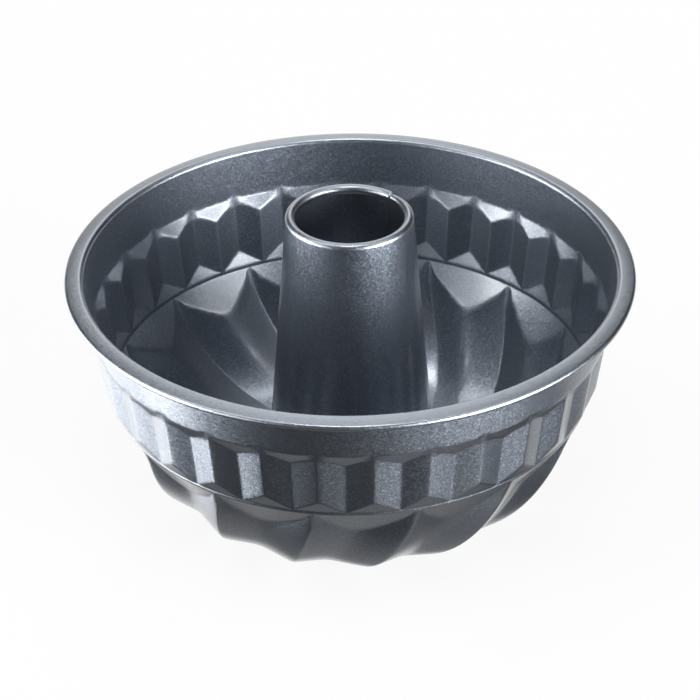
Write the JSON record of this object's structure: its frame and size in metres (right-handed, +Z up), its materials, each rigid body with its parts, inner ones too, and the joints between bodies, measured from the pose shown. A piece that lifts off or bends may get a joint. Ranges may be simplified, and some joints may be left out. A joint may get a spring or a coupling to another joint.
{
  "type": "fluted tube pan",
  "caption": "Round fluted ring mould for cakes, with a flat curled rim, prism facets, swirled petals and a tall open centre tube.",
  "frame": {"origin": "centre of the base ring, on the plane that the pan stands on", "axes": "+Z up along the tube's axis, mouth upwards; the pictured front faces -Y"},
  "size_m": [0.22, 0.22, 0.1217],
  "materials": {
    "coated_sheet_steel": "satin metallic non-stick coating",
    "coated_tube_steel": "satin metallic non-stick coating"
  },
  "bodies": {
    "root": {"pan_body": "coated_sheet_steel", "centre_tube": "coated_tube_steel"}
  },
  "joints": []
}
